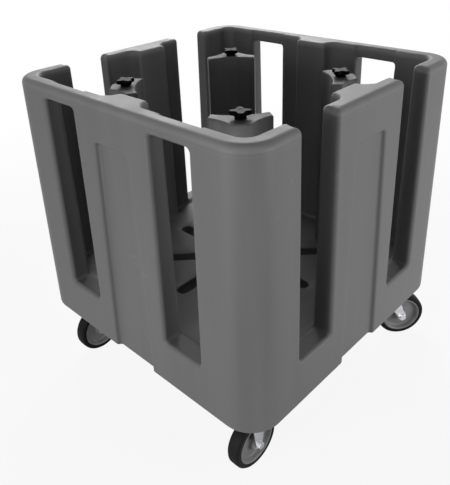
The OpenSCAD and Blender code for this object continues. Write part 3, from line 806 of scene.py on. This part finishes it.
def rounded(corners):
    """An outline whose corners, given as x, y and radius, are rounded."""
    points = []
    n = len(corners)
    for k, (x, y, r) in enumerate(corners):
        here = Vector((x, y))
        back, on = Vector(corners[k - 1][:2]) - here, Vector(corners[(k + 1) % n][:2]) - here
        if r == 0:
            points.append((x, y))
            continue
        half = back.angle(on)/2
        reach = min(r/math.tan(half), 0.48*back.length, 0.48*on.length)
        r = reach*math.tan(half)
        centre = here + (back.normalized() + on.normalized()).normalized()*r/math.sin(half)
        a, b = here + back.normalized()*reach - centre, here + on.normalized()*reach - centre
        swing = a.angle_signed(b)
        for t in np.linspace(0, 1, 6):
            turned = a.copy()
            turned.rotate(Matrix.Rotation(-swing*t, 2))
            points.append(tuple(centre + turned))
    return points


def outward(obj, merge=0.0):
    """Turns every face outwards, once corners closer than merge are one."""
    fix = bmesh.new()
    fix.from_mesh(obj.data)
    if merge:
        bmesh.ops.remove_doubles(fix, verts=fix.verts, dist=merge)
    bmesh.ops.recalc_face_normals(fix, faces=fix.faces)
    fix.to_mesh(obj.data)
    fix.free()
    return obj


def lathe(name, outline, steps=WHEEL_STEPS):
    """Turns a closed outline of radius and place about the Y axis."""
    corners, faces = [], []
    n = len(outline)
    for k in range(steps):
        t = 2*math.pi*k/steps
        corners += [(r*math.cos(t), y, r*math.sin(t)) for r, y in outline]
        j = (k + 1) % steps
        faces += [(k*n + i, k*n + (i + 1) % n, j*n + (i + 1) % n, j*n + i) for i in range(n)]
    return outward(mesh_object(name, corners, faces), 1e-6)


wheel_lo, wheel_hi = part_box("front_tyre")
WHEEL_R = (wheel_hi.z - wheel_lo.z)/2
TREAD_RING_R = WHEEL_R - TREAD_T
tread_section = rounded([
    (TREAD_RING_R, -TREAD_HALF_W, 0), (WHEEL_R - TREAD_SHOULDER, -TREAD_HALF_W, 0.0015),
    (WHEEL_R - 0.0006, -TREAD_HALF_W + TREAD_SHOULDER, 0.003), (WHEEL_R, 0, 0.2),
    (WHEEL_R - 0.0006, TREAD_HALF_W - TREAD_SHOULDER, 0.003),
    (WHEEL_R - TREAD_SHOULDER, TREAD_HALF_W, 0.0015), (TREAD_RING_R, TREAD_HALF_W, 0)])
rim_in = TREAD_RING_R - CORE_RIM_T
side = TREAD_HALF_W - 0.0002
core_half = [
    (HUB_R - 0.0045, HUB_HALF_W - BUSH_FLANGE_T, 0), (HUB_R - 0.0045, HUB_HALF_W, 0.0004),
    (HUB_R, HUB_HALF_W, 0.0012), (HUB_R + 0.0006, WEB_HALF + WEB_DIP + 0.0005, 0.003),
    (rim_in - 0.0045, WEB_HALF + 0.0007, 0.004), (rim_in, side - CORE_LIP_R, 0.0015),
    (rim_in + CORE_LIP_R, side, 0.0018), (TREAD_RING_R - 0.0012, side, 0.0006),
    (TREAD_RING_R, side - 0.0016, 0)]
bore_end = HUB_HALF_W - BUSH_FLANGE_T
core_section = rounded([(BUSH_R, -bore_end, 0), (BUSH_R, bore_end, 0)] + core_half
                       + [(x, -y, r) for x, y, r in core_half[::-1]])


tread_rubber = moulded_plastic("tread_rubber_black", (0.006, 0.006, 0.006), 0.60, 0.0012, 0.0002,
                               0.25, 0.06, 0.15, 0.5)
core_plastic = moulded_plastic("core_polypropylene", (0.24, 0.24, 0.244), 0.40, 0.0020, 0.0001,
                               0.06, 0.2)
tyre = paint(shade(lathe("tyre", tread_section)), tread_rubber)
core = paint(shade(lathe("core", core_section)), core_plastic)
joint_axis = {j["name"]: Vector(j["axis"]) for j in frame["record"]["behaviour"]["joints"]}
on_axle = {}
for corner in CORNERS:
    axis = joint_axis[f"{corner}_wheel_roll"]
    on_axle[corner] = Matrix.Translation(middle(f"{corner}_tyre")) @ Matrix.Rotation(
        math.atan2(-axis.x, axis.y), 4, "Z")
    for shape, name, node, slot in ((tyre, "tread", "tyre", "tread_rubber"),
                                    (core, "core", "wheel_core", "wheel_core_plastic")):
        piece = copy_to(shape, f"{corner}_{name}_moulding", on_axle[corner])
        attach(piece, f"{corner}_wheel")
        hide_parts(f"{corner}_{node}")
bpy.data.objects.remove(tyre)
bpy.data.objects.remove(core)


# The caster forks
# Pressed from zinc-plated sheet. The rigid ones have flanges spot-welded under a bolting plate;
# the swivel ones bend over into a round web that carries the lower race of the balls.

LEG_IN, LEG_T = 0.0198, 0.0035
LEG_END_R, LEG_TOP_HALF = 0.0105, 0.022
BEND_R = 0.006
FLANGE_W = 0.014
AXLE_R = 0.005
TRAIL = 0.042
FORK_PLATE_HALF, FORK_PLATE_T, FORK_PLATE_R = (0.0525, 0.040), 0.004, 0.008
WEB_R, WEB_T = 0.036, 0.005
RACE_IN_R, RACE_OUT_R = 0.018, 0.032
KING_R, KING_HEAD_R, KING_HEAD_T = 0.006, 0.011, 0.007
BALL_RING_R, BALL_R, BALL_COUNT = 0.025, 0.003, 20
BALL_GAP = 0.0001
BOLT_HOLE_R = 0.00425


def sheet(path, thickness):
    """Outline of a bent sheet about its middle line, given as places and bend radii."""
    line = [Vector(p) for p in rounded(path)]
    left, right = [], []
    for k, p in enumerate(line):
        ahead = line[min(k + 1, len(line) - 1)] - line[max(k - 1, 0)]
        normal = Vector((-ahead.y, ahead.x)).normalized()*thickness/2
        left.append(tuple(p + normal))
        right.append(tuple(p - normal))
    return left + right[::-1]


def along_x(name, outline, low, high):
    """Extrudes an outline of Y and Z along X."""
    return outward(loft(name, [[(x, y, z) for y, z in outline] for x in (low, high)]))


def along_y(name, outline, low, high):
    """Extrudes an outline of X and Z along Y."""
    return outward(loft(name, [[(x, y, z) for x, z in outline] for y in (low, high)]))


def upright(name, outline, x=0.0):
    """Turns a closed outline of radius and height about an upright axis."""
    obj = lathe(name, outline)
    obj.data.transform(Matrix.Translation((x, 0, 0)) @ Matrix.Rotation(math.radians(90), 4, "X"))
    return obj


def leg_side(back, top):
    """Side view of the legs, from the round end at the axle up to the top."""
    end = [(LEG_END_R*math.cos(t), LEG_END_R*math.sin(t))
           for t in np.radians(np.linspace(180, 360, 19))]
    shoulder = top - LEG_END_R
    flare = rounded([(LEG_END_R, 0, 0), (LEG_TOP_HALF - back, shoulder, 0.020),
                     (LEG_TOP_HALF - back, top, 0), (-LEG_TOP_HALF - back, top, 0),
                     (-LEG_TOP_HALF - back, shoulder, 0.020), (-LEG_END_R, 0, 0)])
    return end + flare[1:-1]


def bolting_plate(low):
    """The plate that four bolts hold up under the tub, with its under face at a height."""
    half_x, half_y = FORK_PLATE_HALF
    outline = rounded([(sx*half_x, sy*half_y, FORK_PLATE_R)
                       for sx, sy in ((-1, -1), (1, -1), (1, 1), (-1, 1))])
    plate = soften(prism("plate", outline, low, low + FORK_PLATE_T), 0.0007, 2, 60)
    for x, y in bolt_pattern():
        drill(plate, BOLT_HOLE_R, low, low + FORK_PLATE_T, x, y)
    return plate


def legs(back, top, paths):
    """The legs of a fork: bent sheets cut to the side view, with the axle's holes."""
    shape = along_y("side", leg_side(back, top), -0.06, 0.06)
    sheets = [along_x("leg", sheet(path, LEG_T), -0.1, 0.1) for path in paths]
    both = sheets[0]
    for other in sheets[1:]:
        combine(both, other, "UNION")
    combine(both, shape, "INTERSECT")
    soften(both, 0.0006, 2, 50)
    return combine(both, along_y("axle_hole", circle(AXLE_R), -0.06, 0.06), "DIFFERENCE")


def race_groove(height, side):
    """The hollow that the balls run in, seen in section: above it the ring of balls."""
    r = BALL_R + BALL_GAP
    half = math.acos(abs(ball_z - height)/r)
    return [(BALL_RING_R + r*math.sin(t), ball_z + side*r*math.cos(t))
            for t in np.linspace(-half, half, 9)]


leg_mid = LEG_IN + LEG_T/2
plate_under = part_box("right_swivel_plate")[1].z - FORK_PLATE_T
upper_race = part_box("right_swivel_plate")[0].z
ball_z = middle("right_swivel_balls").z
web_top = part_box("right_caster_fork")[1].z
axle_z = middle("front_tyre").z

flange_z = plate_under - axle_z - LEG_T/2
rigid = legs(0, plate_under - axle_z, [
    [(s*leg_mid, -0.03, 0), (s*leg_mid, flange_z, BEND_R), (s*(leg_mid + FLANGE_W), flange_z, 0)]
    for s in (-1, 1)])
rigid_plate = bolting_plate(plate_under)
rigid_plate.data.transform(Matrix.Translation((0, 0, -axle_z)))
combine(rigid, rigid_plate, "UNION")
paint(shade(rigid), bright_zinc)

web_mid = web_top - axle_z - WEB_T/2
swivel = legs(TRAIL, web_top - axle_z - 0.0002, [
    [(-leg_mid, -0.03, 0), (-leg_mid, web_mid, BEND_R), (leg_mid, web_mid, BEND_R),
     (leg_mid, -0.03, 0)]])
groove = [(r, z - axle_z) for r, z in race_groove(web_top, -1)]
web_low, web_high = web_top - axle_z - WEB_T, web_top - axle_z
hole_r = KING_R + 0.0001
web = upright("web", [(hole_r, web_low), (hole_r, web_high)] + groove + rounded(
    [(WEB_R - 0.004, web_high, 0), (WEB_R, web_high, 0.0018), (WEB_R, web_low, 0.0012),
     (WEB_R - 0.004, web_low, 0)]), -TRAIL)
hole = prism("king_hole", circle(hole_r, -TRAIL), web_low - 0.01, web_high + 0.01)
combine(swivel, hole, "DIFFERENCE")
combine(swivel, web, "UNION")
paint(shade(swivel), bright_zinc)

swivel_plate = bolting_plate(plate_under)
upper_groove = race_groove(upper_race, 1)
race_top = plate_under + 0.001
race = upright("race", rounded(
    [(RACE_IN_R, upper_race, 0.001), (RACE_IN_R, race_top, 0), (RACE_OUT_R, race_top, 0),
     (RACE_OUT_R, upper_race, 0.0016), (RACE_OUT_R - 0.003, upper_race, 0)]) + upper_groove[::-1])
combine(swivel_plate, outward(race), "UNION")
drill(swivel_plate, KING_R, plate_under, plate_under + FORK_PLATE_T)
paint(shade(swivel_plate), bright_zinc)
king_lo, king_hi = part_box("right_kingpin")
king_head = king_lo.z + KING_HEAD_T
kingpin = upright("kingpin", [(0.0001, king_lo.z)] + rounded(
    [(KING_HEAD_R*0.55, king_lo.z, 0), (KING_HEAD_R, king_lo.z, 0.0035),
     (KING_HEAD_R, king_head, 0.0006), (KING_R, king_head, 0)])
    + [(KING_R, king_hi.z), (0.0001, king_hi.z)])
paint(shade(kingpin), bright_zinc)

for corner, (sx, sy) in CORNERS.items():
    under_plate = Matrix.Translation((sx*CASTER_AT, sy*CASTER_AT, 0))
    if corner in SWIVELS:
        parts = ((swivel, "fork_pressing", "caster_fork", f"{corner}_fork", on_axle[corner]),
                 (swivel_plate, "plate_pressing", "swivel_plate", "caddy", under_plate),
                 (kingpin, "kingpin_rivet", "kingpin", "caddy", under_plate))
    else:
        parts = ((rigid, "fork_pressing", "caster_fork", "caddy", on_axle[corner]),)
    for shape, name, node, body, place in parts:
        piece = copy_to(shape, f"{corner}_{name}", place)
        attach(piece, body)
        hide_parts(f"{corner}_{node}")
for shape in (rigid, swivel, swivel_plate, kingpin):
    bpy.data.objects.remove(shape)


# The balls of the swivels, and the bolts that hold the casters
# Both are rows of one small shape, laid out by node trees: a ring of steel balls in each swivel,
# and four hexagon bolts through the plate of each caster into the brass inserts.

BOLT_HEAD_R, BOLT_HEAD_T = 0.007, 0.0055
BOLT_R, BOLT_L = 0.004, 0.022
AXLE_HEAD_R, AXLE_HEAD_T, AXLE_NUT_T = 0.009, 0.0065, 0.008


def geometry_tree(name, inputs):
    """A geometry node tree with its inputs, and the sockets of its input and output nodes."""
    tree = bpy.data.node_groups.new(name, "GeometryNodeTree")
    for label, kind in inputs:
        tree.interface.new_socket(label, in_out="INPUT", socket_type=kind)
    tree.interface.new_socket("Geometry", in_out="OUTPUT", socket_type="NodeSocketGeometry")
    return tree, tree.nodes.new("NodeGroupInput").outputs, tree.nodes.new("NodeGroupOutput").inputs


def grown(name, tree, values):
    """Runs a geometry node tree on an empty mesh and keeps what it makes as a plain mesh."""
    obj = mesh_object(name, [], [])
    step = obj.modifiers.new("grow", "NODES")
    step.node_group = tree
    for item in tree.interface.items_tree:
        if item.in_out == "INPUT" and item.name in values:
            step[item.identifier] = values[item.name]
    settle(obj)
    return obj


def ball_ring_tree():
    tree, given, result = geometry_tree("ball_ring", [
        ("Balls", "NodeSocketInt"), ("Ring Radius", NUMBER), ("Ball Radius", NUMBER),
        ("Steel", "NodeSocketMaterial")])
    ring = add_node(tree, "GeometryNodeMeshCircle", {"Vertices": given["Balls"],
                                                     "Radius": given["Ring Radius"]})
    ball = add_node(tree, "GeometryNodeMeshIcoSphere", {"Radius": given["Ball Radius"],
                                                        "Subdivisions": 3})
    placed = add_node(tree, "GeometryNodeInstanceOnPoints",
                      {"Points": ring.outputs[0], "Instance": ball.outputs[0]})
    real = add_node(tree, "GeometryNodeRealizeInstances", {"Geometry": placed.outputs[0]})
    smooth = add_node(tree, "GeometryNodeSetShadeSmooth", {"Geometry": real.outputs[0]})
    done = add_node(tree, "GeometryNodeSetMaterial",
                    {"Geometry": smooth.outputs[0], "Material": given["Steel"]})
    tree.links.new(done.outputs[0], result["Geometry"])
    return tree


def bolt_rows_tree():
    """One bolt at each corner of a small oblong, repeated at the four corners of a large one."""
    tree, given, result = geometry_tree("bolt_rows", [
        ("Bolt", "NodeSocketObject"), ("Caster Spacing", NUMBER), ("Pitch Length", NUMBER),
        ("Pitch Width", NUMBER), ("Height", NUMBER), ("Steel", "NodeSocketMaterial")])
    casters = add_node(tree, "GeometryNodeMeshGrid", {
        "Size X": given["Caster Spacing"], "Size Y": given["Caster Spacing"],
        "Vertices X": 2, "Vertices Y": 2})
    pattern = add_node(tree, "GeometryNodeMeshGrid", {
        "Size X": given["Pitch Length"], "Size Y": given["Pitch Width"],
        "Vertices X": 2, "Vertices Y": 2})
    patterns = add_node(tree, "GeometryNodeInstanceOnPoints",
                        {"Points": casters.outputs[0], "Instance": pattern.outputs[0]})
    points = add_node(tree, "GeometryNodeRealizeInstances", {"Geometry": patterns.outputs[0]})
    lift = add_node(tree, "ShaderNodeCombineXYZ", {"Z": given["Height"]})
    raised = add_node(tree, "GeometryNodeSetPosition", {"Geometry": points.outputs[0],
                                                        "Offset": lift.outputs[0]})
    bolt_shape = add_node(tree, "GeometryNodeObjectInfo", {"Object": given["Bolt"]})
    bolts = add_node(tree, "GeometryNodeInstanceOnPoints",
                     {"Points": raised.outputs[0], "Instance": bolt_shape.outputs["Geometry"]})
    real = add_node(tree, "GeometryNodeRealizeInstances", {"Geometry": bolts.outputs[0]})
    done = add_node(tree, "GeometryNodeSetMaterial",
                    {"Geometry": real.outputs[0], "Material": given["Steel"]})
    tree.links.new(done.outputs[0], result["Geometry"])
    return tree


def hexagon_head(name, r, height, bore=0.0):
    """A hexagon with chamfered corners that stands on the ground plane. A bore makes it a nut."""
    shape = prism(name, circle(r, steps=6), 0, height)
    cone = upright("chamfer", [(0.00005, 0), (r*0.93, 0), (r, 0.0009), (r, height - 0.0011),
                               (r*0.88, height), (0.00005, height)])
    combine(shape, outward(cone), "INTERSECT")
    return drill(shape, bore, 0, height) if bore else shape


ball_tree = ball_ring_tree()
for corner in SWIVELS:
    balls = grown(f"{corner}_ball_ring", ball_tree, {
        "Balls": BALL_COUNT, "Ring Radius": BALL_RING_R, "Ball Radius": BALL_R, "Steel": bright_zinc})
    balls.data.transform(Matrix.Translation(middle(f"{corner}_swivel_balls")))
    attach(balls, f"{corner}_fork")
    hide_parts(f"{corner}_swivel_balls")

bolt = hexagon_head("bolt", BOLT_HEAD_R, BOLT_HEAD_T)
bolt.data.transform(Matrix.Rotation(math.pi, 4, "X"))
combine(bolt, prism("shank", circle(BOLT_R, steps=24), -0.001, BOLT_L), "UNION")
paint(shade(bolt), bright_zinc)
bolts = grown("caster_bolt_set", bolt_rows_tree(), {
    "Bolt": bolt, "Caster Spacing": 2*CASTER_AT, "Pitch Length": BOLT_PITCH[0],
    "Pitch Width": BOLT_PITCH[1], "Height": plate_under, "Steel": bright_zinc})
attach(bolts, "caddy")
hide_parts("caster_bolts")
bpy.data.objects.remove(bolt)


# The axle bolts and nuts
# Hexagon bolts through the legs and the sleeve, with a nut on the far side.

grip = LEG_IN + LEG_T
shank_end = grip + AXLE_NUT_T + 0.002
head = hexagon_head("head", AXLE_HEAD_R, AXLE_HEAD_T)
head.data.transform(Matrix.Translation((0, -grip, 0)) @ Matrix.Rotation(math.radians(90), 4, "X"))
shank = upright("shank", [(0.00005, 0), (AXLE_R - 0.0008, 0), (AXLE_R, 0.0008),
                          (AXLE_R, grip + shank_end), (0.00005, grip + shank_end)])
shank.data.transform(Matrix.Translation((0, shank_end, 0))
                     @ Matrix.Rotation(math.radians(90), 4, "X"))
combine(head, outward(shank), "UNION")
nut = hexagon_head("nut", AXLE_HEAD_R, AXLE_NUT_T, AXLE_R)
nut.data.transform(Matrix.Translation((0, grip, 0)) @ Matrix.Rotation(math.radians(-90), 4, "X"))
paint(shade(head), bright_zinc)
paint(shade(nut), bright_zinc)
for corner in CORNERS:
    for shape, name, node in ((head, "axle_screw", "axle_bolt"), (nut, "axle_locknut", "axle_nut")):
        piece = copy_to(shape, f"{corner}_{name}", on_axle[corner])
        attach(piece, f"{corner}_fork" if corner in SWIVELS else "caddy")
        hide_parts(f"{corner}_{node}")
bpy.data.objects.remove(head)
bpy.data.objects.remove(nut)


# The pieces that keep their plain shape
# Rods, washers, sleeves, bushes and inserts are turned parts, finished here with their metal
# or plastic.

black_zinc = plated_steel("black_zinc", (0.02, 0.02, 0.02), 0.55, 0.010)
turned_brass = plated_steel("insert_brass_turned", (0.62, 0.46, 0.20), 0.32, 0.006)
bush_acetal = moulded_plastic("bush_acetal", (0.62, 0.60, 0.52), 0.35, 0.0020, 0.00005, 0.04, 0.05)
paint(frame["nodes"]["caster_inserts"], turned_brass)
for corner in CORNERS:
    for node in ("clamp_rod", "axle_sleeve"):
        paint(frame["nodes"][f"{corner}_{node}"], bright_zinc)
    paint(frame["nodes"][f"{corner}_clamp_washer"], black_zinc)
    paint(frame["nodes"][f"{corner}_hub_bushes"], bush_acetal)


# The studio
# A pale floor that goes on to the horizon, one soft lamp high behind and one low at each side,
# under a dark ceiling. The floor and the sky are white to the camera, to gloss and through clear
# pieces, and dim as light; near the tub gloss sees the floor dark, a painted shadow.

FLOOR_HALF = 30.0
FLOOR_SEEN, FLOOR_LIT = 0.90, 0.08
GLOW_NEAR, GLOW_FAR = 0.90, 1.0
GLOW_START, GLOW_END = 0.8, 2.6
HORIZON_FILL, ZENITH_FILL = 0.31, 0.03
# Gloss sees the floor dark up to the first distance, a painted shadow of the tub on the floor,
# and pale past the second
PAINTED_SHADOW_R, OPEN_R = 0.30, 0.60


def in_view(tree, mirrored=1.0):
    """One where the camera or a clear piece shows the surface, mirrored where a gloss does."""
    ray = add_node(tree, "ShaderNodeLightPath").outputs
    seen = maths(tree, "MULTIPLY_ADD", ray["Is Glossy Ray"], mirrored, ray["Is Camera Ray"])
    return maths(tree, "MAXIMUM", seen, ray["Is Transmission Ray"])


floor = mesh_object("studio_floor", [(x*FLOOR_HALF, y*FLOOR_HALF, 0) for x, y in
                                     ((-1, -1), (1, -1), (1, 1), (-1, 1))], [(0, 1, 2, 3)])
floor_paint = bpy.data.materials.new("pale_floor")
floor_paint.use_nodes = True
tree = floor_paint.node_tree
away = add_node(tree, "ShaderNodeVectorMath", {0: on_piece(tree)},
                operation="LENGTH").outputs["Value"]
# Near the tub, what gloss sees of the floor is darkened by distance from the middle, a painted shadow
seen = in_view(tree, remap(tree, away, PAINTED_SHADOW_R, OPEN_R, curve="SMOOTHSTEP"))
tone = blend(tree, seen, (*[FLOOR_LIT]*3, 1), (*[FLOOR_SEEN]*3, 1))
matt = add_node(tree, "ShaderNodeBsdfDiffuse", {"Color": tone})
glow = remap(tree, away, GLOW_START, GLOW_END, GLOW_NEAR, GLOW_FAR, "SMOOTHSTEP")
white = add_node(tree, "ShaderNodeEmission")
both = add_node(tree, "ShaderNodeMixShader", {0: maths(tree, "MULTIPLY", glow, seen),
                                              1: matt.outputs[0], 2: white.outputs[0]})
tree.links.new(both.outputs[0], tree.nodes["Material Output"].inputs["Surface"])
floor.data.materials.append(floor_paint)

sky = bpy.data.worlds.new("studio_sky")
scene.world = sky
sky.use_nodes = True
tree = sky.node_tree
way = add_node(tree, "ShaderNodeSeparateXYZ",
               {0: add_node(tree, "ShaderNodeTexCoord").outputs["Generated"]})
fill = remap(tree, way.outputs["Z"], 0.0, 0.6, HORIZON_FILL, ZENITH_FILL)
strength = remap(tree, in_view(tree), 0.0, 1.0, fill, 1.0)
tree.links.new(strength, tree.nodes["Background"].inputs["Strength"])
tree.nodes["Background"].inputs["Color"].default_value = (1, 1, 1, 1)


def soft_lamp(name, at, aim, size, power):
    """An oblong lamp that faces a point."""
    lamp = bpy.data.objects.new(name, bpy.data.lights.new(name, "AREA"))
    lamp.data.shape = "RECTANGLE"
    lamp.data.size, lamp.data.size_y = size
    lamp.data.energy = power
    lamp.matrix_world = Matrix.Translation(at) @ (Vector(aim) - Vector(at)).to_track_quat(
        "-Z", "Y").to_matrix().to_4x4()
    scene.collection.objects.link(lamp)


soft_lamp("back_lamp", (1.9, 1.9, 2.2), (0, 0, 0.6), (2.4, 1.4), 60)
soft_lamp("left_lamp", (-2.5, -0.3, 0.6), (-1.2, -1.8, 0.5), (1.6, 1.0), 37)
soft_lamp("right_lamp", (0.7, -2.5, 0.3), (0, 0, 0.4), (1.6, 1.0), 34)

scene.view_settings.view_transform = "Standard"
